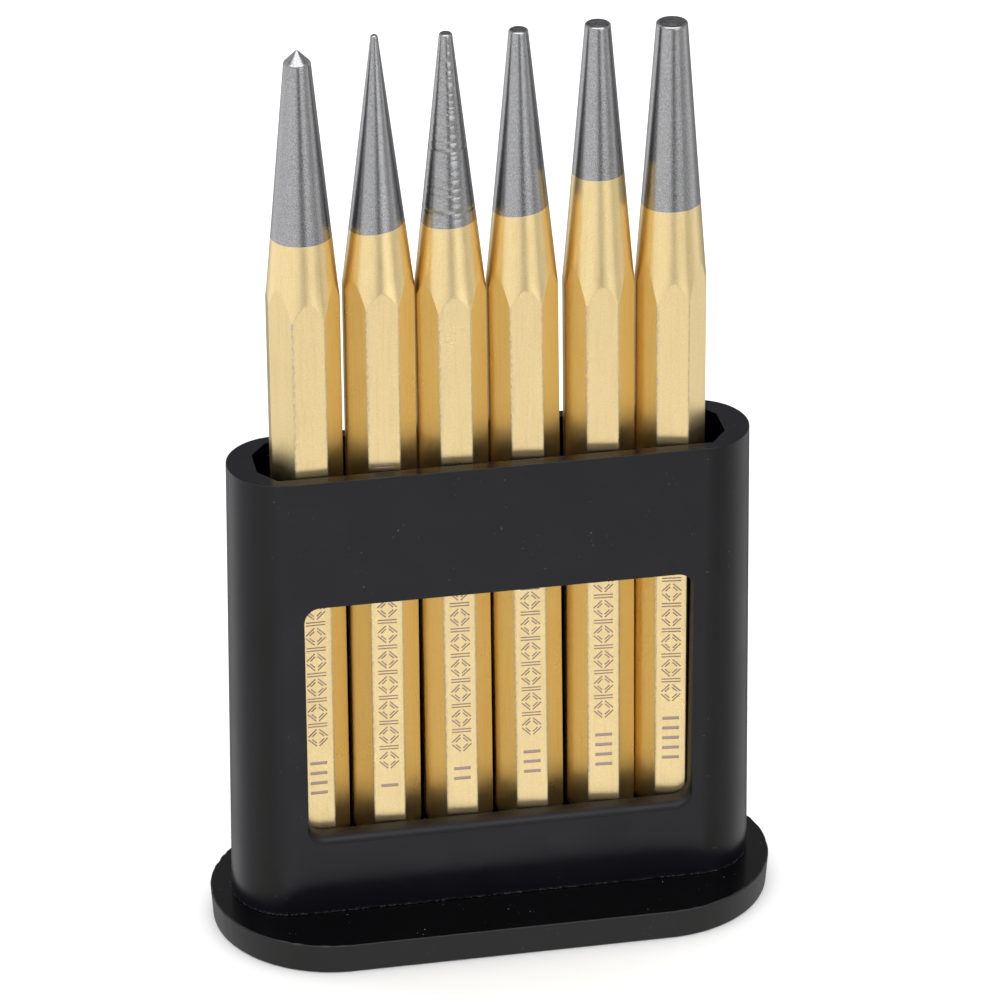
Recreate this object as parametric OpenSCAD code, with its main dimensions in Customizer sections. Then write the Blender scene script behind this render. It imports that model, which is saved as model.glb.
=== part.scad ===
// Set of six hand punches, one center punch and five tapered drift punches, in a moulded stand.
// Millimetres, +Z up. The origin is the middle of the stand's underside. -Y is the front, where
// the window is, and the punches stand in a row along X with their points up.

/* [Stand] */
// Length of the sleeve at its rim, along the row of punches
sleeve_l = 73.2; // [72.6:0.1:79]
// Depth of the sleeve at its rim, from front to back
sleeve_d = 15.2; // [15:0.1:17]
// How far the sleeve's side spreads from its rim down to the foot
sleeve_draft = 0.9; // [0:0.1:1.2]
// Height of the sleeve's rim above the surface the stand rests on
rim_z = 72.8; // [66:0.1:80]
// Length of the foot at its top edge
foot_l = 81; // [80:0.1:95]
// Depth of the foot at its top edge
foot_d = 35.2; // [30:0.1:45]
// Thickness of the foot plate
foot_t = 4.6; // [3:0.1:6]
// How far the foot's side leans in from top to bottom
foot_draft = 0.3; // [0:0.1:0.6]
// Length of the slot that holds the punches
slot_l = 65.4; // [64.6:0.1:66.6]
// Depth of the slot, from front to back
slot_d = 11.6; // [11.5:0.1:12.4]
// Height of the floor that the punches stand on
floor_z = 14.15; // [13.5:0.05:16]
// Thickness of that floor
floor_t = 2.5; // [1.5:0.1:4]

/* [Window] */
// Width of the window in the sleeve's front wall
window_w = 54.7; // [50:0.1:57]
// Height of the window's lower edge
window_z = 16.85; // [16.4:0.05:20]
// Height of the window itself
window_h = 36.65; // [30:0.05:44]
// Radius of the window's corners
window_r = 2.2; // [0.5:0.1:4]

/* [Punches] */
// Nominal length of every punch
punch_l = 120; // [110:1:130]
// Across the flats of a drift punch's eight-sided shank
drift_af = 9.62; // [9.3:0.02:9.64]
// Across the flats of the center punch's shank
center_af = 9.8; // [9.3:0.05:9.9]
// Width of the shank's front and back flats, as a share of the size across the flats
wide_share = 0.455; // [0.42:0.005:0.48]
// Width of its left and right flats, as a share of the same size
side_share = 0.28; // [0.26:0.005:0.42]
// Included angle of the center punch's point
point_angle = 90; // [60:1:120]
// Bevel round the flat end of a drift punch
tip_bevel = 0.15; // [0.05:0.05:0.25]
// Height of the chamfer round the striking end
head_h = 1.2; // [0.6:0.1:3]
// How far that chamfer stands in from the corners
head_in = 0.75; // [0.55:0.05:1.5]

/* [Size marks] */
// Depth of the engraved size marks
mark_depth = 0.1; // [0.05:0.05:0.3]
// Length of one size mark, across the flat
mark_l = 2.4; // [1:0.1:3]
// Height of one size mark
mark_w = 0.5; // [0.3:0.1:0.8]
// Distance from one size mark to the next
mark_pitch = 1.6; // [1.2:0.1:2.2]
// Height of the lowest size mark above the punch's striking end
mark_z = 8.3; // [4:0.1:28]

/* [Hidden] */
$fn = 96;
// A cut runs this far past the faces that it opens
over = 1;
// The foot's plug fits the hollow under the sleeve's floor: its height, and the play round it
plug_h = 6;
plug_play = 0.05;
// Gap under a punch's end, so that its slight lean keeps its edge off the floor
stand_gap = 0.06;
// The slot's ends are half of an eight-sided outline: half its end flat, and its chamfer's run
slot_end = 2.6;
slot_run = 2.4;
// Recess moulded into the foot's underside, and the rim left round it
recess_h = 0.8;
recess_rim = 3;
// How each punch is made and happens to stand, from the left: its place along X, the turn
// about its own axis and the lean to the right in degrees, its length over or under the
// nominal one, how far below the tip its round taper meets the front flat and then the last
// full corner, and the diameter that its tip is ground to
STAND_X = [-25.5, -15.16, -4.75, 5.47, 15.78, 25.68];
TURN = [0.2, -3.2, -2.6, -4.2, -4.5, -7.2];
LEAN = [-0.1, -0.1, -0.5, -0.7, -0.5, -0.4];
LENGTH_OVER = [-0.4, 0.8, 0.3, 0, 0, -0.6];
FLAT_BELOW = [35, 35.6, 36.5, 36, 36.4, 36.3];
TAPER_L = [38, 37.9, 39, 38.8, 39.6, 39.9];
TIP_D = [3.7, 1, 1.8, 2.65, 3.5, 4.3];
// The punches stand this far in front of the slot's middle, close to its front wall
STAND_Y = -0.65;
// Nominal size of the center punch, in millimetres
CENTER_SIZE = 4;
BLACK = "#1b1b1e";
GOLD = "#cda452";

// Long outline with half-round ends
module stadium(l, d) {
    square([l - d, d], center = true);
    for (side = [-1, 1])
        translate([side * (l - d) / 2, 0])
            circle(d = d);
}

// Prism with half-round ends and sides that lean: l by d at the top, and spread further out
// all round at the bottom
module drafted_prism(l, d, h, spread) {
    r_top = d / 2;
    r_base = r_top + spread;
    for (side = [-1, 1])
        translate([side * (l - d) / 2, 0, 0])
            cylinder(h = h, r1 = r_base, r2 = r_top);
    rotate([90, 0, 90])
        linear_extrude(l - d, center = true)
            polygon([[-r_base, 0], [r_base, 0], [r_top, h], [-r_top, h]]);
}

// The slot's outline, made smaller all round by inset
module slot_outline(inset = 0) {
    corner_inset = inset * (sqrt(2) - 1);
    x_flat = slot_l / 2 - inset;
    x_side = slot_l / 2 - slot_run - corner_inset;
    y_side = slot_d / 2 - inset;
    y_flat = slot_end - corner_inset;
    polygon([
        [x_side, -y_side], [x_flat, -y_flat], [x_flat, y_flat], [x_side, y_side],
        [-x_side, y_side], [-x_flat, y_flat], [-x_flat, -y_flat], [-x_side, -y_side]
    ]);
}

// Rectangle with rounded corners
module rounded_rect(w, h, r) {
    square([w - 2 * r, h], center = true);
    square([w, h - 2 * r], center = true);
    for (x = [-1, 1], y = [-1, 1])
        translate([x * (w / 2 - r), y * (h / 2 - r)])
            circle(r = r);
}

// Sleeve that holds the row of punches upright: a slot with a floor, a window in its front
// wall, and a hollow under the floor for the foot's plug
module holder_sleeve() {
    color(BLACK)
        difference() {
            translate([0, 0, foot_t])
                drafted_prism(sleeve_l, sleeve_d, rim_z - foot_t, sleeve_draft);
            translate([0, 0, floor_z])
                linear_extrude(rim_z - floor_z + over)
                    slot_outline();
            translate([0, 0, foot_t - over])
                linear_extrude(floor_z - floor_t - foot_t + over)
                    slot_outline();
            translate([0, 0, window_z + window_h / 2])
                rotate([90, 0, 0])
                    linear_extrude(sleeve_d / 2 + sleeve_draft + over)
                        rounded_rect(window_w, window_h, window_r);
        }
}

// Foot plate, with the plug that holds it in the sleeve's lower end
module holder_foot() {
    color(BLACK)
        difference() {
            union() {
                drafted_prism(foot_l, foot_d, foot_t, -foot_draft);
                translate([0, 0, foot_t - over])
                    linear_extrude(plug_h + over)
                        slot_outline(plug_play);
            }
            translate([0, 0, -over])
                linear_extrude(recess_h + over)
                    stadium(foot_l - 2 * recess_rim, foot_d - 2 * recess_rim);
        }
}

// Eight-sided outline with wide flats at front and back, and narrow ones at the sides
module shank_outline(af) {
    a = af / 2;
    wide = a * wide_share;
    side = a * side_share;
    polygon([
        [wide, -a], [a, -side], [a, side], [wide, a],
        [-wide, a], [-a, side], [-a, -side], [-wide, -a]
    ]);
}

// Distance from the axis to the corners beside the front and back flats
function corner_r(af) = af / 2 * sqrt(1 + wide_share * wide_share);

// One punch on its own axis: a bar turned down to a taper, which is steeper where it runs out
// into the corners, and chamfered at the striking end. A pointed one ends in a cone, and a flat
// one in a small bevel.
module punch(af, tip_d, l, flat_below, taper_l, pointed = false) {
    r_corner = corner_r(af);
    r_flat = af / 2;
    r_tip = tip_d / 2;
    tip_h = pointed ? r_tip / tan(point_angle / 2) : tip_bevel;
    r_end = pointed ? 0 : r_tip - tip_bevel;
    slope = (r_corner - r_flat) / (taper_l - flat_below);
    r_clear = r_corner + over;
    clear_z = l - taper_l - over / slope;
    head_slope = head_in / head_h;
    turned = concat(
        [[0, 0], [r_corner - head_in, 0], [r_clear, head_h + over / head_slope]],
        [[r_clear, clear_z], [r_flat, l - flat_below], [r_tip, l - tip_h]],
        pointed ? [] : [[r_end, l]],
        [[0, l]]
    );
    intersection() {
        linear_extrude(l)
            shank_outline(af);
        rotate_extrude()
            polygon(turned);
    }
}

// Engraved marks on a punch's front flat, one for each millimetre of its nominal size
module size_marks(count, af) {
    for (i = [0 : count - 1])
        translate([-mark_l / 2, -af / 2 - over, mark_z + i * mark_pitch])
            cube([mark_l, over + mark_depth, mark_w]);
}

// Puts a punch where it stands in the row
module standing(place) {
    translate([STAND_X[place], STAND_Y, floor_z + stand_gap])
        rotate([0, LEAN[place], TURN[place]])
            children();
}

// Drift punch with a flat end. Its nominal size in millimetres is its place in the row too.
module drift_punch(size) {
    color(GOLD)
        standing(size)
            difference() {
                punch(
                    drift_af, TIP_D[size], punch_l + LENGTH_OVER[size], FLAT_BELOW[size],
                    TAPER_L[size]
                );
                size_marks(size, drift_af);
            }
}

module center_punch() {
    color(GOLD)
        standing(0)
            difference() {
                punch(
                    center_af, TIP_D[0], punch_l + LENGTH_OVER[0], FLAT_BELOW[0], TAPER_L[0],
                    pointed = true
                );
                size_marks(CENTER_SIZE, center_af);
            }
}

module drift_punch_1mm() { drift_punch(1); }
module drift_punch_2mm() { drift_punch(2); }
module drift_punch_3mm() { drift_punch(3); }
module drift_punch_4mm() { drift_punch(4); }
module drift_punch_5mm() { drift_punch(5); }

holder_sleeve();
holder_foot();
center_punch();
drift_punch_1mm();
drift_punch_2mm();
drift_punch_3mm();
drift_punch_4mm();
drift_punch_5mm();
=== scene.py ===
"""Center punch and five drift punches in a black plastic stand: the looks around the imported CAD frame.

The script works in millimetres and hands Blender metres. Each punch is lofted on its own axis,
+Z towards its tip and -Y towards the front, and then put where its CAD node stands.
"""

import math
import random
from typing import NamedTuple

import bmesh
import bpy
from mathutils import Matrix, Vector, noise


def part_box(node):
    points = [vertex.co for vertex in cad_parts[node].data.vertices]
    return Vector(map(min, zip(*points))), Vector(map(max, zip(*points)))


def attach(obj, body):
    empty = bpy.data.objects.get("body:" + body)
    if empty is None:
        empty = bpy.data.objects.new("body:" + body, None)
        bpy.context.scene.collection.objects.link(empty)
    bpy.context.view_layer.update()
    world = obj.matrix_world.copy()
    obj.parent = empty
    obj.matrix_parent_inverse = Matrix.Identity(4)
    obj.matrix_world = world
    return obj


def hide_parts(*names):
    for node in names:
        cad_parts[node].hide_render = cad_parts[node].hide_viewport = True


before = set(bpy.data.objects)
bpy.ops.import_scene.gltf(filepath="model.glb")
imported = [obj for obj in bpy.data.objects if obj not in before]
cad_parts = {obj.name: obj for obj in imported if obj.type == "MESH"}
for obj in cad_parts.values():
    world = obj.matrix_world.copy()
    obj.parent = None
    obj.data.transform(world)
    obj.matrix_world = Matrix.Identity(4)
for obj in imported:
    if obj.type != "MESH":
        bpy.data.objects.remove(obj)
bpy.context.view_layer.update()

MM = 0.001

# ---------------------------------------------------------------- sizes, in millimetres

SLEEVE_LOW, SLEEVE_HIGH = (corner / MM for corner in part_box("holder_sleeve"))
FOOT_LOW, FOOT_HIGH = (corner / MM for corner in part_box("holder_foot"))
FOOT_T = SLEEVE_LOW.z
RIM_Z = SLEEVE_HIGH.z
SLEEVE_DRAFT = 0.9
SLEEVE_L = SLEEVE_HIGH.x - SLEEVE_LOW.x - 2 * SLEEVE_DRAFT
SLEEVE_D = SLEEVE_HIGH.y - SLEEVE_LOW.y - 2 * SLEEVE_DRAFT
SLEEVE_EDGE = 0.12
FOOT_L = FOOT_HIGH.x - FOOT_LOW.x
FOOT_D = FOOT_HIGH.y - FOOT_LOW.y
FOOT_DRAFT = 0.3
FOOT_EDGE, FOOT_LOW_EDGE = 0.2, 0.3
FOOT_RECESS = 0.8
FOOT_RIM = 3.0
PLUG_TOP = FOOT_HIGH.z
PLUG_PLAY = 0.05
SLOT_L, SLOT_D = 65.4, 11.6
SLOT_END, SLOT_RUN = 2.6, 2.4
FLOOR_Z = 14.15
FLOOR_T = 2.5
WINDOW_W, WINDOW_H = 54.7, 36.65
WINDOW_Z = 16.85
WINDOW_R = 2.2
# How deep the window's outer edge is rounded, and how far it opens out there: all round, and
# how much more along its lower edge
WINDOW_FILLET = 1.5
WINDOW_FLARE, SILL_FLARE = 0.25, 0.85
# The foot's ragged upper edge: how often its waves and nicks come in 1 mm, how far they pull
# the edge in, as a share of its distance from the middle, and how far they pull it down
WAVES, WAVE_IN, WAVE_DOWN = 0.35, 0.003, 0.12
NICKS, NICK_IN, NICK_DOWN = 1.3, 0.008, 0.4
# A cutter runs this far past the faces that it opens
OVER = 3.0

WIDE_SHARE, SIDE_SHARE = 0.455, 0.28
CORNER_ROUND = 0.35
HEAD_H, HEAD_IN = 1.2, 0.75
TIP_BEVEL = 0.15
STAND_Y = -0.65
STAND_GAP = 0.06
LACQUER = 0.012
# A ring stands this far on either side of the lines where the shank meets its chamfer and taper
HEAD_SEAM, TAPER_SEAM = 0.1, 0.2
# Least and most half width, depth and spacing of the grooves round a ringed punch's taper
GROOVE_HALF = 0.05, 0.1
GROOVE_DEPTH = 0.008, 0.03
GROOVE_PITCH = 0.5, 1.7
# Spacing and depth of the rings that the tool left on a flat tip
TOOL_PITCH, TOOL_DEPTH = 0.16, 0.03
# One turn round a punch is this wide in its UV map
TURN_UV = 30.0
FIRST_SEED = 40

# Engraved size marks: bars across the front flat, the lowest of them at this height
MARK_DEPTH = 0.1
MARK_L, MARK_W = 2.4, 0.5
MARK_PITCH = 1.6
MARK_Z = 8.3
# The engraved band starts this far above the size marks and repeats at this pitch. Its strokes
# stop short of each diamond's corners by the gap.
BAND_ABOVE, BAND_PITCH = 1.2, 4.05
STROKE, STROKE_GAP = 0.20, 0.20
# Half the height of the outer and the inner diamond, and the height of the two bars above them
DIAMONDS = 1.35, 0.85
BARS = 3.15, 3.6


class Punch(NamedTuple):
    """How a punch is made and how it happens to stand. Lengths are in millimetres."""

    size: int            # nominal size
    af: float            # across the flats
    x: float             # place along the row
    turn: float          # about its own axis, in degrees
    lean: float          # to the right, in degrees
    length: float
    flat_below: float    # how far below the tip its taper meets the front flat
    taper_l: float       # how far below the tip its taper meets the last corner
    tip_d: float         # diameter of the tip
    paint: float         # how far below the tip the lacquer starts
    climb: float         # how much that line climbs from left to right
    mark_top: float      # height above its struck end where the engraving ends
    pointed: bool = False
    ringed: bool = False  # whether its bare taper has grooves round it


# The row of punches, from the left
PUNCHES = {
    "center_punch":
        Punch(4, 9.8, -25.5, 0.2, -0.1, 119.6, 35.0, 38.0, 3.7, 26.85, 0.1, 57.6, pointed=True),
    "drift_punch_1mm":
        Punch(1, 9.62, -15.16, -3.2, -0.1, 120.8, 35.6, 37.9, 1.0, 27.25, 1.0, 59.3),
    "drift_punch_2mm":
        Punch(2, 9.62, -4.75, -2.6, -0.5, 120.3, 36.5, 39.0, 1.8, 26.85, 0.4, 57.6, ringed=True),
    "drift_punch_3mm":
        Punch(3, 9.62, 5.47, -4.2, -0.7, 120.0, 36.0, 38.8, 2.65, 25.6, 0.8, 57.6),
    "drift_punch_4mm":
        Punch(4, 9.62, 15.78, -4.5, -0.5, 120.0, 36.4, 39.6, 3.5, 21.45, 0.1, 57.6),
    "drift_punch_5mm":
        Punch(5, 9.62, 25.68, -7.2, -0.4, 119.4, 36.3, 39.9, 4.3, 26.15, 0.1, 57.6),
}


# ---------------------------------------------------------------- mesh helpers

def make_object(name, bm, materials, matrix=Matrix.Identity(4)):
    """A piece from a mesh in millimetres, put in place and changed to metres."""
    bm.transform(Matrix.Scale(MM, 4) @ matrix)
    bmesh.ops.recalc_face_normals(bm, faces=bm.faces)
    mesh = bpy.data.meshes.new(name)
    bm.to_mesh(mesh)
    bm.free()
    for material in materials:
        mesh.materials.append(material)
    obj = bpy.data.objects.new(name, mesh)
    bpy.context.scene.collection.objects.link(obj)
    return obj


def bridge(bm, low, high, slot):
    """Faces between two closed rings of as many points."""
    count = len(low)
    for i in range(count):
        k = (i + 1) % count
        face = bm.faces.new((low[i], low[k], high[k], high[i]))
        face.material_index = slot


def loft(rings, side_slot, cap_slot):
    """A closed solid through rings of points, capped at both ends."""
    bm = bmesh.new()
    made = [[bm.verts.new(p) for p in ring] for ring in rings]
    for low, high in zip(made, made[1:]):
        bridge(bm, low, high, side_slot)
    for ring in (made[0], made[-1]):
        bm.faces.new(ring).material_index = cap_slot
    return bm


def quarter(radius, steps):
    """(along, in) pairs of a quarter round, from its start on one face to its end on the next."""
    pairs = []
    for i in range(steps + 1):
        a = math.radians(90 * i / steps)
        pairs.append((radius * math.sin(a), radius * (1 - math.cos(a))))
    return pairs


def stadium(length, depth, z, arc=40):
    """Ring of a long outline with half-round ends, each of them in arc steps."""
    r, half = depth / 2, (length - depth) / 2
    points = []
    for side in (1, -1):
        for i in range(arc + 1):
            a = math.radians(180 * i / arc - 90)
            points.append(Vector((side * (half + r * math.cos(a)), side * r * math.sin(a), z)))
    return points


def combine(obj, other, operation):
    """Joins the other shape to the object or takes it away, and removes it from the scene."""
    step = obj.modifiers.new("combine", "BOOLEAN")
    step.operation = operation
    step.solver = "EXACT"
    step.material_mode = "TRANSFER"
    step.object = other
    bpy.context.view_layer.update()
    graph = bpy.context.evaluated_depsgraph_get()
    mesh = bpy.data.meshes.new_from_object(obj.evaluated_get(graph), depsgraph=graph)
    obj.modifiers.clear()
    obj.data = mesh
    bpy.data.objects.remove(other)


def shade(obj, sharp_above):
    """Smooth faces with edges above that many degrees left sharp, and wide faces left flat."""
    mesh = obj.data
    mesh.shade_smooth()
    mesh.set_sharp_from_angle(angle=math.radians(sharp_above))
    step = obj.modifiers.new("shading", "WEIGHTED_NORMAL")
    step.weight = 100
    step.keep_sharp = True


# ---------------------------------------------------------------- materials

class Nodes:
    """Short ways to add nodes to a tree and link them."""

    def __init__(self, tree):
        self.tree = tree

    def link(self, output, target):
        self.tree.links.new(output, target)

    def node(self, kind, **settings):
        """A new node. A setting that starts with in_ is the value of an input."""
        made = self.tree.nodes.new(kind)
        for name, value in settings.items():
            if name.startswith("in_"):
                made.inputs[name[3:].replace("_", " ")].default_value = value
            else:
                setattr(made, name, value)
        return made

    def place(self):
        """Where a point is on the object, in metres."""
        return self.node("ShaderNodeTexCoord").outputs["Object"]

    def turned(self):
        """Where a point is on a punch: along its rings, and up its outline."""
        return self.node("ShaderNodeUVMap", uv_map="turned").outputs["UV"]

    def stretched(self, vector, scale):
        made = self.node("ShaderNodeMapping", in_Scale=scale)
        self.link(vector, made.inputs["Vector"])
        return made.outputs["Vector"]

    def noise(self, vector, size_mm, detail, rough=0.5):
        """Noise whose grains are about size_mm across."""
        scale = 1 / (size_mm * MM)
        made = self.node("ShaderNodeTexNoise", in_Scale=scale, in_Detail=detail, in_Roughness=rough)
        self.link(vector, made.inputs["Vector"])
        return made.outputs["Fac"]

    def spread(self, value, low, high, to_low, to_high):
        """value, moved from the range low to high onto the range to_low to to_high."""
        made = self.node(
            "ShaderNodeMapRange",
            in_From_Min=low, in_From_Max=high, in_To_Min=to_low, in_To_Max=to_high
        )
        self.link(value, made.inputs["Value"])
        return made.outputs["Result"]

    def math(self, kind, a, b):
        """A sum on a and b, each of which is a number or a node's output."""
        made = self.node("ShaderNodeMath", operation=kind)
        for i, value in enumerate((a, b)):
            if isinstance(value, (int, float)):
                made.inputs[i].default_value = value
            else:
                self.link(value, made.inputs[i])
        return made.outputs[0]

    def mix(self, share, a, b):
        """Colour between a and b, each of which is a colour or a node's output."""
        made = self.node("ShaderNodeMix", data_type="RGBA")
        colours = [s for s in made.inputs if s.type == "RGBA"]
        self.link(share, made.inputs[0])
        for socket, value in zip(colours, (a, b)):
            if isinstance(value, tuple):
                socket.default_value = (*value, 1)
            else:
                self.link(value, socket)
        return [s for s in made.outputs if s.type == "RGBA"][0]

    def bump(self, height, depth_mm, before=None):
        """Normal of a surface that the height moves by up to depth_mm, on top of another one."""
        made = self.node("ShaderNodeBump", in_Strength=1.0, in_Distance=depth_mm * MM)
        self.link(height, made.inputs["Height"])
        if before is not None:
            self.link(before, made.inputs["Normal"])
        return made.outputs["Normal"]

    def ramp(self, share, stops):
        """Colour read off a line through the stops: each a place from 0 to 1, and a grey or a
        colour."""
        made = self.node("ShaderNodeValToRGB")
        self.link(share, made.inputs["Fac"])
        points = made.color_ramp.elements
        while len(points) < len(stops):
            points.new(1.0)
        for point, (place, tone) in zip(points, stops):
            point.position = place
            point.color = (*tone, 1) if isinstance(tone, tuple) else (tone, tone, tone, 1)
        return made.outputs["Color"]


class Material(Nodes):
    """A node material with a Principled shader."""

    def __init__(self, name):
        self.material = bpy.data.materials.new(name)
        self.material.use_nodes = True
        super().__init__(self.material.node_tree)
        self.shader = self.tree.nodes["Principled BSDF"]

    def set(self, **values):
        for name, value in values.items():
            self.shader.inputs[name.replace("_", " ")].default_value = value

    def finish(self, colour, roughness=None, normal=None):
        wanted = ("Base Color", colour), ("Roughness", roughness), ("Normal", normal)
        for name, value in wanted:
            if value is not None:
                self.link(value, self.shader.inputs[name])
        return self.material


def black_plastic(name, roughness, grain_mm, grain_depth_mm, dust, tones, seam=0.0):
    """Black moulded plastic: satin grain, slow changes of gloss, and a few specks of dust. seam
    is the share of dust gathered where the sleeve meets the foot."""
    m = Material(name)
    m.set(IOR=1.41)
    place = m.place()
    slow = m.noise(place, 9.0, 2.0)
    fine = m.noise(place, grain_mm, 2.0, 0.6)
    specks = m.spread(m.noise(place, 0.42, 1.0, 0.4), 0.75, 0.79, 0.0, 1.0)
    patches = m.spread(m.noise(place, 5.0, 1.0), 0.48, 0.64, 0.0, dust)
    split = m.node("ShaderNodeSeparateXYZ")
    m.link(place, split.inputs[0])
    seam_low, seam_high = (FOOT_T + 0.1) * MM, (FOOT_T + 0.5) * MM
    line = m.spread(split.outputs["Z"], seam_low, seam_high, seam, 0.0)
    crumbs = m.spread(m.noise(place, 0.3, 2.0, 0.7), 0.5, 0.65, 0.0, 1.0)
    dusty = m.math("ADD", m.math("MULTIPLY", specks, patches), m.math("MULTIPLY", line, crumbs))
    grey_dust = (0.20, 0.195, 0.19)
    colour = m.mix(dusty, m.mix(slow, *tones), grey_dust)
    rough = m.spread(slow, 0.3, 0.7, roughness - 0.035, roughness + 0.035)
    rough = m.math("ADD", rough, m.math("MULTIPLY", dusty, 0.4))
    normal = m.bump(fine, grain_depth_mm)
    normal = m.bump(m.noise(place, 14.0, 1.0), 0.03, normal)
    return m.finish(colour, rough, normal)


def gold_lacquer():
    """Satin gold lacquer on steel: fine metallic speckle, and pale lines along the corners, strongest on
    the front ones.
    """
    m = Material("gold_lacquer")
    m.set(Metallic=1.0)
    deep, light = (0.83, 0.62, 0.27), (0.89, 0.68, 0.32)
    fleck, streak, corner_pale = (0.98, 0.82, 0.52), (0.72, 0.48, 0.18), (0.58, 0.50, 0.44)
    place = m.place()
    speckle = m.noise(place, 0.14, 2.0, 0.75)
    cloud = m.noise(place, 5.0, 2.0)
    edge = m.node("ShaderNodeAttribute", attribute_name="edge").outputs["Fac"]
    streaks = m.noise(m.stretched(place, (1.0, 1.0, 0.05)), 0.45, 3.0, 0.6)
    tone = m.mix(cloud, deep, light)
    tone = m.mix(m.spread(speckle, 0.35, 0.72, 0.0, 0.8), tone, fleck)
    tone = m.mix(m.spread(streaks, 0.5, 0.75, 0.0, 0.25), tone, streak)
    crumbs = m.noise(m.stretched(place, (1.0, 1.0, 0.3)), 0.2, 2.0, 0.7)
    # A paler tone along the corners, strongest on the two in front, broken up by noise
    pale_mark = m.math("MULTIPLY", edge, m.spread(crumbs, 0.42, 0.62, 0.0, 1.0))
    colour = m.mix(pale_mark, tone, corner_pale)
    rough = m.spread(cloud, 0.3, 0.7, 0.27, 0.32)
    normal = m.bump(speckle, 0.012)
    normal = m.bump(streaks, 0.006, normal)
    return m.finish(colour, rough, normal)


def ground_steel(name, ring_depth_mm):
    """Bare ground steel: rings left by the grinding wheel, and a fine sparkle."""
    m = Material(name)
    m.set(Metallic=1.0, Anisotropic=0.5, Anisotropic_Rotation=0.25)
    deep, light, glint = (0.25, 0.25, 0.254), (0.31, 0.31, 0.315), (0.52, 0.52, 0.535)
    place = m.place()
    rings = m.noise(m.stretched(m.turned(), (0.02, 1.0, 1.0)), 0.22, 3.0, 0.7)
    sparkle = m.noise(place, 0.14, 2.0, 0.8)
    tone = m.mix(m.noise(place, 4.0, 2.0), deep, light)
    colour = m.mix(m.spread(sparkle, 0.40, 0.70, 0.0, 0.9), tone, glint)
    rough = m.spread(rings, 0.3, 0.7, 0.10, 0.17)
    normal = m.bump(sparkle, 0.015)
    normal = m.bump(rings, ring_depth_mm, normal)
    tangent = m.node("ShaderNodeTangent", direction_type="UV_MAP", uv_map="turned")
    m.link(tangent.outputs["Tangent"], m.shader.inputs["Tangent"])
    return m.finish(colour, rough, normal)


def turned_end_painted_dark():
    """The end face of a punch: steel painted dark as painted shade for its dark reflection, with rings
    left by the tool.
    """
    m = Material("turned_end_painted_dark")
    m.set(Metallic=1.0)
    # Painted shade: far darker steel than the taper's, so the end faces look as dark as their reflection
    dark, light = (0.08, 0.08, 0.085), (0.45, 0.45, 0.46)
    rings = m.noise(m.stretched(m.turned(), (0.05, 1.0, 1.0)), 0.3, 2.0, 0.6)
    colour = m.mix(m.spread(rings, 0.35, 0.65, 0.0, 1.0), dark, light)
    return m.finish(colour, m.spread(rings, 0.3, 0.7, 0.22, 0.38), m.bump(rings, 0.02))


def etched():
    """Engraving darkened by a laser: a warm reddish grey beside the gold."""
    m = Material("etched_mark")
    m.set(Metallic=1.0)
    dark, light = (0.46, 0.35, 0.31), (0.60, 0.47, 0.42)
    grain = m.noise(m.place(), 0.12, 2.0, 0.7)
    rough = m.spread(grain, 0.3, 0.7, 0.40, 0.55)
    return m.finish(m.mix(grain, dark, light), rough, m.bump(grain, 0.01))


def floor_paper():
    """Plain pale floor, very slightly mottled."""
    m = Material("pale_floor")
    m.set(Roughness=0.9, Specular_IOR_Level=0.1)
    return m.finish(m.mix(m.noise(m.place(), 60.0, 2.0), (0.93, 0.93, 0.93), (0.95, 0.95, 0.95)))


# Two tones for each kind of black plastic, which change slowly into each other
DARK = (0.0008, 0.0007, 0.0034), (0.0018, 0.0016, 0.0050)
DEEP = (0.0003, 0.0003, 0.0006), (0.0008, 0.0008, 0.0013)
DULL = (0.004, 0.004, 0.0045), (0.008, 0.008, 0.0085)
SATIN = black_plastic("black_satin", 0.30, 0.22, 0.005, 0.30, DARK, seam=0.5)
GLOSS = black_plastic("black_gloss", 0.22, 0.60, 0.002, 0.4, DARK)
REVEAL = black_plastic("black_reveal", 0.50, 0.25, 0.010, 0.2, DARK)
FOOT_TOP = black_plastic("black_foot_top", 0.20, 0.50, 0.003, 1.0, DEEP)
MATTE = black_plastic("black_matte", 0.44, 0.30, 0.012, 0.3, DULL)
GOLD = gold_lacquer()
STEEL = ground_steel("ground_steel", 0.003)
STEEL_RINGED = ground_steel("ringed_steel", 0.007)
END = turned_end_painted_dark()
ETCHED = etched()

# The materials of each kind of piece, and the names of their slots
SLEEVE_LOOKS = SATIN, GLOSS, REVEAL
FOOT_LOOKS = SATIN, FOOT_TOP, MATTE
PLAIN, SHINY, MATTED = 0, 1, 2
COATED, BARE, ENDS, MARKED = 0, 1, 2, 3


# ---------------------------------------------------------------- stand

def slot_ring(z, spread=0.0):
    """Ring of the slot's eight-sided outline, made larger all round by spread."""
    side = spread * (math.sqrt(2) - 1)
    x_flat = SLOT_L / 2 + spread
    x_side = SLOT_L / 2 - SLOT_RUN + side
    y_side = SLOT_D / 2 + spread
    y_flat = SLOT_END + side
    quadrant = [(x_flat, y_flat), (x_side, y_side)]
    points = quadrant + [(-x, y) for x, y in reversed(quadrant)]
    points += [(-x, -y) for x, y in points]
    return [Vector((x, y, z)) for x, y in points]


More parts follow.
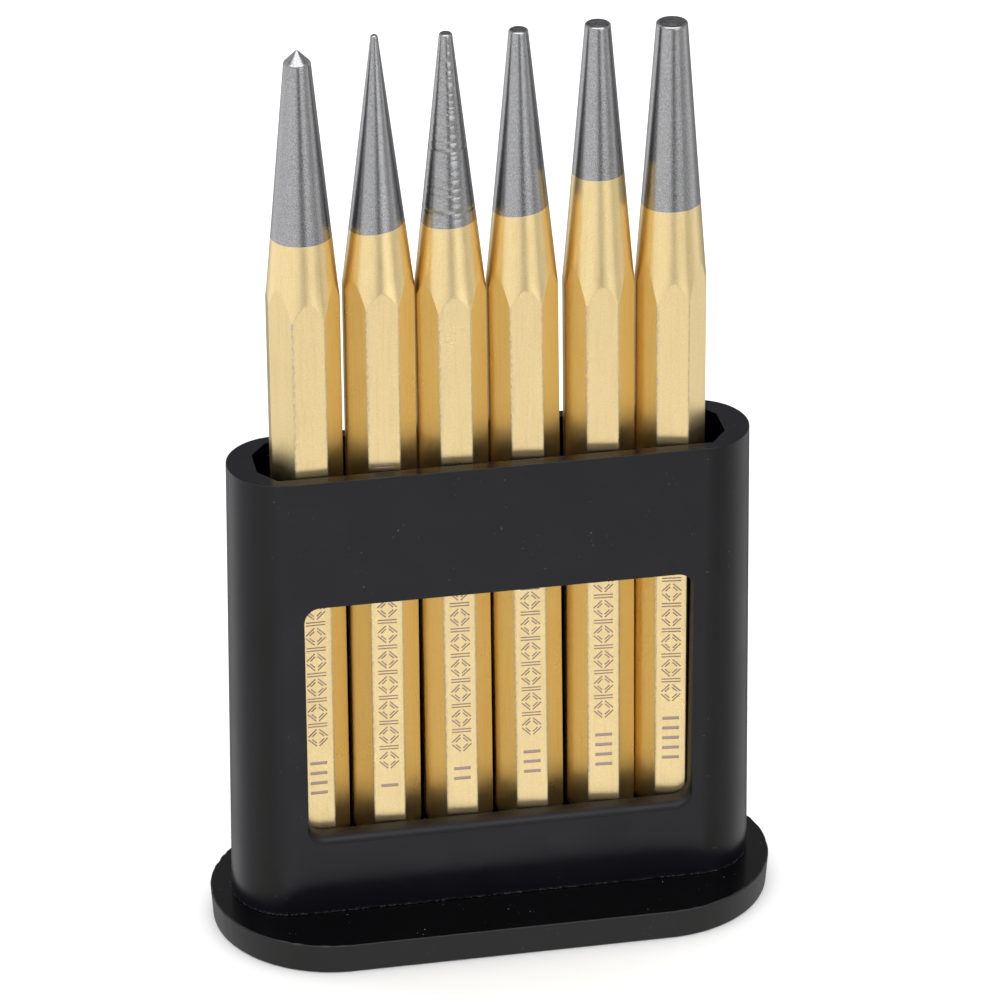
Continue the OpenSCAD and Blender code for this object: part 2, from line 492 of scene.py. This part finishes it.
def window_ring(y, flare):
    """Ring of the window's outline at depth y. flare goes from 0 inside the wall to 1 at its
    outer face, where the lower edge opens out more than the others."""
    points = []
    for k, (side, end) in enumerate(((1, 1), (-1, 1), (-1, -1), (1, -1))):
        centre_x = side * (WINDOW_W / 2 - WINDOW_R)
        centre_z = WINDOW_Z + WINDOW_H / 2 + end * (WINDOW_H / 2 - WINDOW_R)
        for i in range(9):
            a = math.radians(90 * k + 90 * i / 8)
            lower = max(0.0, -math.sin(a))
            r = WINDOW_R + flare * (WINDOW_FLARE + SILL_FLARE * lower)
            points.append(Vector((centre_x + r * math.cos(a), y, centre_z + r * math.sin(a))))
    return points


def cut(obj, rings, slot, looks):
    """Takes a solid through the rings away from the object. The new faces get the slot's look."""
    combine(obj, make_object("cutter", loft(rings, slot, slot), looks), "DIFFERENCE")


def wall_y(z):
    """Outer face of the sleeve's front wall at height z."""
    return -(SLEEVE_D / 2 + SLEEVE_DRAFT * (RIM_Z - z) / (RIM_Z - FOOT_T))


def holder_sleeve():
    """The sleeve: drafted outside, slot for the punches, window in the front wall."""
    edge = quarter(SLEEVE_EDGE, 3)
    profile = [(2 * (SLEEVE_DRAFT - SLEEVE_EDGE + along), FOOT_T + back) for along, back in edge]
    profile += [(2 * (along - SLEEVE_EDGE), RIM_Z - back) for along, back in reversed(edge)]
    rings = [stadium(SLEEVE_L + spread, SLEEVE_D + spread, z) for spread, z in profile]
    sleeve = make_object("holder_sleeve_shell", loft(rings, PLAIN, SHINY), SLEEVE_LOOKS)

    rings = [slot_ring(FLOOR_Z)]
    rings += [slot_ring(RIM_Z - SLEEVE_EDGE + along, back) for along, back in edge]
    rings += [slot_ring(RIM_Z + OVER, SLEEVE_EDGE)]
    cut(sleeve, rings, SHINY, SLEEVE_LOOKS)

    hollow = [slot_ring(FOOT_T - OVER), slot_ring(FLOOR_Z - FLOOR_T)]
    cut(sleeve, hollow, PLAIN, SLEEVE_LOOKS)

    within_slot = -2.0
    start_y = wall_y(WINDOW_Z) + WINDOW_FILLET
    rings = [window_ring(within_slot, 0)]
    rings += [
        window_ring(start_y - along, back / WINDOW_FILLET)
        for along, back in quarter(WINDOW_FILLET, 9)
    ]
    rings += [window_ring(start_y - WINDOW_FILLET - OVER, 1)]
    cut(sleeve, rings, MATTED, SLEEVE_LOOKS)
    shade(sleeve, sharp_above=32)
    return sleeve


def roughen(ring, dips):
    """Makes a ring of the foot's upper edge slightly ragged, with long waves and a few small
    nicks. dips says whether they also pull the ring down."""
    for p in ring:
        wave = abs(noise.noise(Vector((p.x * WAVES, p.y * WAVES, 3.0))))
        nick = max(0.0, noise.noise(Vector((p.x * NICKS, p.y * NICKS, 8.0))) - 0.25)
        p.xy *= 1 - WAVE_IN * wave - NICK_IN * nick
        if dips:
            p.z -= WAVE_DOWN * wave + NICK_DOWN * nick


def holder_foot():
    """The foot: a drafted plate with a slightly ragged upper edge, and the plug in the sleeve."""
    rings = []
    for along, back in quarter(FOOT_LOW_EDGE, 3):
        spread = -2 * (FOOT_DRAFT + FOOT_LOW_EDGE - along)
        rings.append(stadium(FOOT_L + spread, FOOT_D + spread, back, arc=90))
    for along, back in reversed(quarter(FOOT_EDGE, 4)):
        spread = -2 * (FOOT_EDGE - along)
        rings.append(stadium(FOOT_L + spread, FOOT_D + spread, FOOT_T - back, arc=90))
        roughen(rings[-1], dips=back > 0)
    foot = make_object("holder_foot_shell", loft(rings, MATTED, SHINY), FOOT_LOOKS)

    plug = [slot_ring(FOOT_T / 2, -PLUG_PLAY), slot_ring(PLUG_TOP, -PLUG_PLAY)]
    combine(foot, make_object("plug", loft(plug, PLAIN, PLAIN), FOOT_LOOKS), "UNION")

    inner = FOOT_L - 2 * FOOT_RIM, FOOT_D - 2 * FOOT_RIM
    recess = [stadium(*inner, -OVER, arc=64), stadium(*inner, FOOT_RECESS, arc=64)]
    cut(foot, recess, MATTED, FOOT_LOOKS)
    shade(foot, sharp_above=32)
    return foot


# ---------------------------------------------------------------- punches

def corner_round(before, here, after):
    """Centre, first point and bend of the round that takes a corner off an outline."""
    back = (before - here).normalized()
    ahead = (after - here).normalized()
    half = back.angle(ahead) / 2
    centre = here + (back + ahead).normalized() * CORNER_ROUND / math.sin(half)
    return centre, here + back * CORNER_ROUND / math.tan(half), math.pi - 2 * half


def outline(af):
    """(angle, radius, pale line) of each point of the rounded eight-sided outline. The pale line is
    above 0 on the corners only, and most on the two in front."""
    a = af / 2
    wide, side = a * WIDE_SHARE, a * SIDE_SHARE
    corners = (
        (a, side), (wide, a), (-wide, a), (-a, side),
        (-a, -side), (-wide, -a), (wide, -a), (a, -side)
    )
    # How strong the pale line is on each corner
    paleness = 0.3, 0.5, 0.5, 0.3, 0.3, 1.0, 0.6, 0.3
    front_left = 5
    corners = [Vector(c) for c in corners]
    rounds = [corner_round(corners[k - 1], corners[k], corners[(k + 1) % 8]) for k in range(8)]
    points = []
    for k, (centre, start, bend) in enumerate(rounds):
        fade = 0.6 if k == front_left else 0.2
        for share, strength in ((0, fade), (0.25, 0.9), (0.5, 1), (0.75, 0.9), (1, fade)):
            p = centre + Matrix.Rotation(bend * share, 2) @ (start - centre)
            points.append((p, paleness[k] * strength))
        leave, arrive = points[-1][0], rounds[(k + 1) % 8][1]
        for share in (0.04, 0.2, 0.4, 0.6, 0.8, 0.96):
            points.append((leave.lerp(arrive, share), 0.0))
    return [(math.atan2(p.y, p.x), p.length, pale_mark) for p, pale_mark in points]


class PunchRings:
    """The rings of a punch, from its struck end to its tip. Each has the slot of the faces that
    lead up to it, and (point, radius, pale line) for each column of the outline. A height is a number
    or a function of a column's angle and shank radius, and a radius is a number or a function of
    that shank radius and the height."""

    def __init__(self, punch, seed):
        self.punch = punch
        self.draw = random.Random(seed)
        self.columns = outline(punch.af)
        self.half_af = punch.af / 2
        self.r_tip = punch.tip_d / 2
        self.tip_h = self.r_tip if punch.pointed else TIP_BEVEL
        self.slope = (self.half_af - self.r_tip) / (punch.flat_below - self.tip_h)
        r_corner = self.half_af * math.hypot(1, WIDE_SHARE)
        self.steep = (r_corner - self.half_af) / (punch.taper_l - punch.flat_below)
        self.r_head = r_corner - HEAD_IN
        self.r_end = self.r_tip - LACQUER
        self.rings = []
        self.struck_end()
        self.shank()
        self.lacquered_taper()
        self.bare_taper()
        if punch.pointed:
            self.point()
        else:
            self.flat_tip()

    def add(self, slot, height, radius, paleness=0.0):
        made = []
        for angle, r, pale_mark in self.columns:
            z = height(angle, r) if callable(height) else height
            own = radius(r, z) if callable(radius) else radius
            point = Vector((own * math.cos(angle), own * math.sin(angle), z))
            made.append((point, own, pale_mark * paleness))
        self.rings.append((made, slot))

    def taper_r(self, z):
        """Radius of the taper at height z."""
        down = self.punch.length - z
        if down > self.punch.flat_below:
            return self.half_af + (down - self.punch.flat_below) * self.steep
        return self.r_tip + (down - self.tip_h) * self.slope

    def taper_z(self, r):
        """Height where the taper meets a column of the shank."""
        if r > self.half_af:
            return self.punch.length - self.punch.flat_below - (r - self.half_af) / self.steep
        return self.punch.length - self.tip_h - (r - self.r_tip) / self.slope

    def cone(self, r, z):
        """Radius of the shank and its lacquered taper."""
        return min(r, self.taper_r(z))

    def struck_end(self):
        """The flat end, and the chamfer up to the shank."""
        for share in (0.25, 0.5, 0.75):
            self.add(ENDS, 0.0, self.r_head * share)
        self.add(ENDS, 0.0, self.r_head - 0.1)
        self.add(COATED, 0.03, self.r_head - 0.02)
        slope = HEAD_H / HEAD_IN
        for gap in (-HEAD_SEAM, HEAD_SEAM):
            self.add(
                COATED, lambda _, r, gap=gap: (r - self.r_head) * slope + gap,
                lambda r, z: min(r, self.r_head + z / slope), 1.0
            )

    def shank(self):
        """The eight-sided shank, up to where the taper runs out into it."""
        low, high = HEAD_H + 0.5, self.punch.length - self.punch.taper_l - 1.0
        for i in range(9):
            self.add(COATED, low + (high - low) * i / 8, self.cone, 1.0)
        self.add(COATED, lambda _, r: self.taper_z(r) - TAPER_SEAM, self.cone, 1.0)
        self.add(COATED, lambda _, r: self.taper_z(r), self.cone, 0.4)

    def lacquered_taper(self):
        """The taper up to the line where the lacquer ends, and the step down to bare steel."""
        length, paint, climb = self.punch.length, self.punch.paint, self.punch.climb
        stop = length - paint - 1.0
        for i in range(7):
            self.add(
                COATED,
                lambda _, r, s=i / 6: (self.taper_z(r) + TAPER_SEAM) * (1 - s) + stop * s,
                self.cone
            )

        def paint_z(above):
            return lambda angle, _: length - paint + climb * math.cos(angle) / 2 + above

        self.add(COATED, paint_z(-0.02), self.cone)
        self.add(COATED, paint_z(0), self.cone)
        for above in (0.012, 0.1):
            self.add(BARE, paint_z(above), lambda _, z: self.taper_r(z) - LACQUER)

    def bare_taper(self):
        """The bare steel taper, with grooves round it on a ringed punch."""
        first = self.punch.length - self.punch.paint + abs(self.punch.climb) / 2 + 0.4
        last = self.punch.length - self.tip_h - 0.25
        depths = {first + (last - first) * i / 23: 0.0 for i in range(24)}
        if self.punch.ringed:
            z = first + 0.6
            while z < last - 0.6:
                half = self.draw.uniform(*GROOVE_HALF)
                depths = {h: d for h, d in depths.items() if abs(h - z) > half + 0.03}
                depths[z] = self.draw.uniform(*GROOVE_DEPTH)
                depths[z - half] = depths[z + half] = 0.0
                z += self.draw.uniform(*GROOVE_PITCH)
        for z, deep in sorted(depths.items()):
            self.add(BARE, z, self.taper_r(z) - LACQUER - deep)

    def point(self):
        """The cone of the center punch's point, with a small round at its foot."""
        length, edge, tiny = self.punch.length, 0.10, 0.02
        foot_z = length - self.tip_h + edge
        foot_r = self.r_end - edge
        self.add(BARE, foot_z - 2 * edge, self.r_end + edge * self.slope)
        for i in range(9):
            share = i / 9
            z = foot_z + (self.tip_h - edge - tiny) * share
            self.add(BARE, z, foot_r * (1 - share) + tiny * share)
        self.add(BARE, length - 0.005, 0.012)

    def flat_tip(self):
        """A drift punch's bevelled end, with rings left by the tool on its flat."""
        length = self.punch.length
        flat = self.r_end - TIP_BEVEL - 0.02
        self.add(BARE, length - TIP_BEVEL - 0.04, self.r_end + 0.01)
        self.add(BARE, length - TIP_BEVEL + 0.02, self.r_end - 0.03)
        self.add(BARE, length - 0.03, self.r_end - TIP_BEVEL + 0.02)
        self.add(BARE, length, flat)
        count = max(3, int(flat / TOOL_PITCH))
        for i in range(1, count):
            deep = TOOL_DEPTH * (i % 2) * self.draw.uniform(0.4, 1.0)
            self.add(ENDS, length - deep, flat * (1 - i / count))


def build_punch(name, punch, seed):
    """A punch lofted through its rings, engraved, and put where it stands."""
    bm = bmesh.new()
    uv = bm.loops.layers.uv.new("turned")
    edge = bm.verts.layers.float.new("edge")
    made = []
    travel = 0.0
    before = None
    for ring, slot in PunchRings(punch, seed).rings:
        verts = []
        for point, _, pale_mark in ring:
            verts.append(bm.verts.new(point))
            verts[-1][edge] = pale_mark
        point, radius, _ = ring[0]
        if before is not None:
            travel += math.hypot(point.z - before[0], radius - before[1])
        before = point.z, radius
        made.append((verts, slot, travel))
    count = len(made[0][0])
    for (low, _, low_v), (high, slot, high_v) in zip(made, made[1:]):
        for i in range(count):
            k = (i + 1) % count
            face = bm.faces.new((low[i], low[k], high[k], high[i]))
            face.material_index = slot
            left, right = i / count * TURN_UV, (i + 1) / count * TURN_UV
            places = (left, low_v), (right, low_v), (right, high_v), (left, high_v)
            for loop, (u, v) in zip(face.loops, places):
                loop[uv].uv = (u * MM, v * MM)
    last_slot = BARE if punch.pointed else ENDS
    for verts, slot, z in ((made[0][0], ENDS, 0.0), (made[-1][0], last_slot, punch.length)):
        face = bm.faces.new(verts)
        face.material_index = slot
        for loop in face.loops:
            loop[uv].uv = (0, z * MM)
    looks = GOLD, STEEL_RINGED if punch.ringed else STEEL, END, ETCHED
    matrix = (
        Matrix.Translation((punch.x, STAND_Y, FLOOR_Z + STAND_GAP))
        @ Matrix.Rotation(math.radians(punch.turn), 4, "Z")
        @ Matrix.Rotation(math.radians(punch.lean), 4, "Y")
    )
    obj = make_object(name + "_bar", bm, looks, matrix)
    combine(obj, make_object("cutter", engraving(punch), looks, matrix), "DIFFERENCE")
    shade(obj, sharp_above=38)
    return obj


def engraving(punch):
    """What is cut into a front flat: one bar for each millimetre of nominal size, and above them
    a plain band of nested diamonds and double bars. No two strokes touch."""
    bm = bmesh.new()
    deep_y, open_y = MARK_DEPTH - punch.af / 2, -OVER - punch.af / 2

    def stroke(x0, z0, x1, z1, wide):
        start, end = Vector((x0, 0, z0)), Vector((x1, 0, z1))
        along = (end - start).normalized()
        across = Vector((-along.z, 0, along.x)) * wide / 2
        corners = start - across, end - across, end + across, start + across
        low = [bm.verts.new((p.x, deep_y, p.z)) for p in corners]
        high = [bm.verts.new((p.x, open_y, p.z)) for p in corners]
        for ring in (low, high):
            bm.faces.new(ring).material_index = MARKED
        bridge(bm, low, high, MARKED)

    mark_z = MARK_Z + MARK_W / 2
    for i in range(punch.size):
        stroke(-MARK_L / 2, mark_z + MARK_PITCH * i, MARK_L / 2, mark_z + MARK_PITCH * i, MARK_W)
    outer = DIAMONDS[0]
    z = mark_z + MARK_PITCH * punch.size + BAND_ABOVE
    while z + 2 * outer < punch.mark_top:
        mid = z + outer
        for half in DIAMONDS:
            for side in (-1, 1):
                for up in (-1, 1):
                    stroke(
                        side * STROKE_GAP, mid + up * half,
                        side * half, mid + up * STROKE_GAP, STROKE
                    )
        for bar in BARS:
            stroke(-outer, z + bar, outer, z + bar, STROKE)
        z += BAND_PITCH
    return bm


# ---------------------------------------------------------------- pieces on their bodies

sleeve = holder_sleeve()
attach(sleeve, "stand")
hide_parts("holder_sleeve")

foot = holder_foot()
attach(foot, "stand")
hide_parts("holder_foot")

for number, (punch_name, punch_row) in enumerate(PUNCHES.items()):
    bar = build_punch(punch_name, punch_row, FIRST_SEED + number)
    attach(bar, punch_name)
    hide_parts(punch_name)


# ---------------------------------------------------------------- floor, light and camera

CAMERA_SIDE = 10.65      # degrees that the camera stands to the left of the front
CAMERA_UP = 28.26        # degrees above the horizon
CAMERA_ROLL = -0.2       # degrees
CAMERA_AWAY = 735.0      # from a point in the middle of the row
MIDDLE_Z = 58.8          # that point's height
AIM_RIGHT = 1.47         # how far to the right of that point the camera aims
AIM_ABOVE = 4.41         # and how far above it
LENS = 190.35

LAMP_AT = (0, 60, 600)
LAMP_SIZE = 700
LAMP_RADIANCE = 1.2

# What the object's glossy faces reflect, in layers from the ground up. Each row has the heights
# in degrees between which the layer below fades into this one, and then brightness or colour by
# direction, as in studio(). The warm stretches are what the punches' side flats see past their
# neighbours, where light bounces from gold to gold.
GROUND_GLOW = (0.75, 0.75, 0.75)
WARM_LEFT = (0.56, 0.54, 0.32)
WARM_RIGHT = (0.60, 0.59, 0.42)
LAYERS = (
    (-38, -31, (
        (-180, 0.10), (-166, 0.10), (-148, 0.50), (-120, 1.22), (-84, 0.72), (-50, WARM_LEFT),
        (-24, WARM_LEFT), (-5, 1.20), (8, 1.68), (22, 1.68), (32, WARM_RIGHT), (60, WARM_RIGHT),
        (113, 1.0), (135, 0.76), (160, 0.14), (180, 0.10)
    )),
    (-26, -23, (
        (-180, 0.22), (-150, 0.60), (-125, 1.10), (-84, 1.10), (-44, 1.20), (-12, 1.20),
        (-1, 0.95), (5, 0.24), (17, 0.22), (27, 0.72), (36, 0.78), (50, 0.50), (72, 0.60),
        (100, 1.10), (122, 0.45), (180, 0.15)
    )),
    (-13, -9, (
        (-180, 0.30), (-120, 0.85), (-44, 0.95), (-10, 0.90), (0, 0.70), (6, 0.30), (14, 0.35),
        (24, 1.90), (38, 1.90), (60, 0.60), (84, 0.60), (105, 0.90), (180, 0.20)
    )),
    (10, 20, (
        (-180, 0.24), (-140, 0.42), (-110, 0.90), (-40, 0.90), (-15, 0.45), (20, 0.45),
        (40, 0.60), (90, 0.60), (130, 0.40), (180, 0.24)
    )),
    (33, 40, ((-180, 0.24), (-90, 0.40), (-60, 2.8), (60, 2.8), (90, 0.40), (180, 0.24))),
    (72, 80, ((-180, 0.6), (180, 0.6))),
)


def pale_floor():
    """A wide floor, which the glossy faces don't reflect."""
    bm = bmesh.new()
    bmesh.ops.create_grid(bm, x_segments=2, y_segments=2, size=3000)
    floor = make_object("floor", bm, (floor_paper(),))
    floor.visible_glossy = False


def top_light():
    """Soft light above, which keeps the floor bright and gives it its faint shadow."""
    data = bpy.data.lights.new("top_light", "AREA")
    data.size = LAMP_SIZE * MM
    data.energy = LAMP_RADIANCE * math.pi * data.size ** 2
    lamp = bpy.data.objects.new("top_light", data)
    bpy.context.scene.collection.objects.link(lamp)
    lamp.location = Vector(LAMP_AT) * MM
    lamp.visible_camera = lamp.visible_glossy = False


def studio():
    """Soft studio light from all round: even light for the pale backdrop and the matt surfaces,
    and LAYERS for what the glossy ones reflect. Direction 0 is the camera's side, and directions
    grow to the camera's right."""
    world = bpy.data.worlds.new("studio")
    bpy.context.scene.world = world
    world.use_nodes = True
    n = Nodes(world.node_tree)
    direction = n.node("ShaderNodeMapping", in_Rotation=(0, 0, math.radians(CAMERA_SIDE)))
    n.link(n.node("ShaderNodeTexCoord").outputs["Generated"], direction.inputs["Vector"])
    split = n.node("ShaderNodeSeparateXYZ")
    n.link(direction.outputs["Vector"], split.inputs[0])
    x, y, z = split.outputs
    angle = n.math("ARCTAN2", x, n.math("MULTIPLY", y, -1.0))
    around = n.spread(angle, -math.pi, math.pi, 0.0, 1.0)
    height = n.math("MULTIPLY", n.math("ARCSINE", z, 0.0), 180 / math.pi)

    glow = GROUND_GLOW
    for start, end, stops in LAYERS:
        layer = n.ramp(around, [((degrees + 180) / 360, tone) for degrees, tone in stops])
        glow = n.mix(n.spread(height, start, end, 0.0, 1.0), glow, layer)

    even = n.node("ShaderNodeBackground", in_Color=(1, 1, 1, 1), in_Strength=1.1)
    seen = n.node("ShaderNodeBackground")
    n.link(glow, seen.inputs["Color"])
    share = n.node("ShaderNodeMixShader")
    n.link(n.node("ShaderNodeLightPath").outputs["Is Glossy Ray"], share.inputs[0])
    n.link(even.outputs[0], share.inputs[1])
    n.link(seen.outputs[0], share.inputs[2])
    n.link(share.outputs[0], n.tree.nodes["World Output"].inputs["Surface"])


def camera():
    """The photo's camera, which looks down at the row from the left of its front."""
    data = bpy.data.cameras.new("camera")
    data.lens = LENS
    data.sensor_width = 36
    data.clip_start, data.clip_end = 0.05, 20
    cam = bpy.data.objects.new("camera", data)
    bpy.context.scene.collection.objects.link(cam)
    side, up = math.radians(CAMERA_SIDE), math.radians(CAMERA_UP)
    forward = Vector((math.sin(side) * math.cos(up), math.cos(side) * math.cos(up), -math.sin(up)))
    right = Vector((math.cos(side), -math.sin(side), 0))
    above = right.cross(forward)
    middle = Vector((0, 0, MIDDLE_Z))
    stand_at = middle - forward * CAMERA_AWAY
    aim = middle + right * AIM_RIGHT + above * AIM_ABOVE
    forward = (aim - stand_at).normalized()
    right = (right - right.dot(forward) * forward).normalized()
    above = right.cross(forward)
    rolled = Matrix.Rotation(math.radians(-CAMERA_ROLL), 3, forward)
    basis = Matrix((rolled @ right, rolled @ above, -forward)).transposed()
    cam.matrix_world = Matrix.Translation(stand_at * MM) @ basis.to_4x4()
    bpy.context.scene.camera = cam


def plain_view():
    """Colours go to the picture as they are."""
    view = bpy.context.scene.view_settings
    view.view_transform = "Standard"
    view.look = "None"
    view.exposure = 0
    view.gamma = 1


pale_floor()
studio()
top_light()
camera()
plain_view()
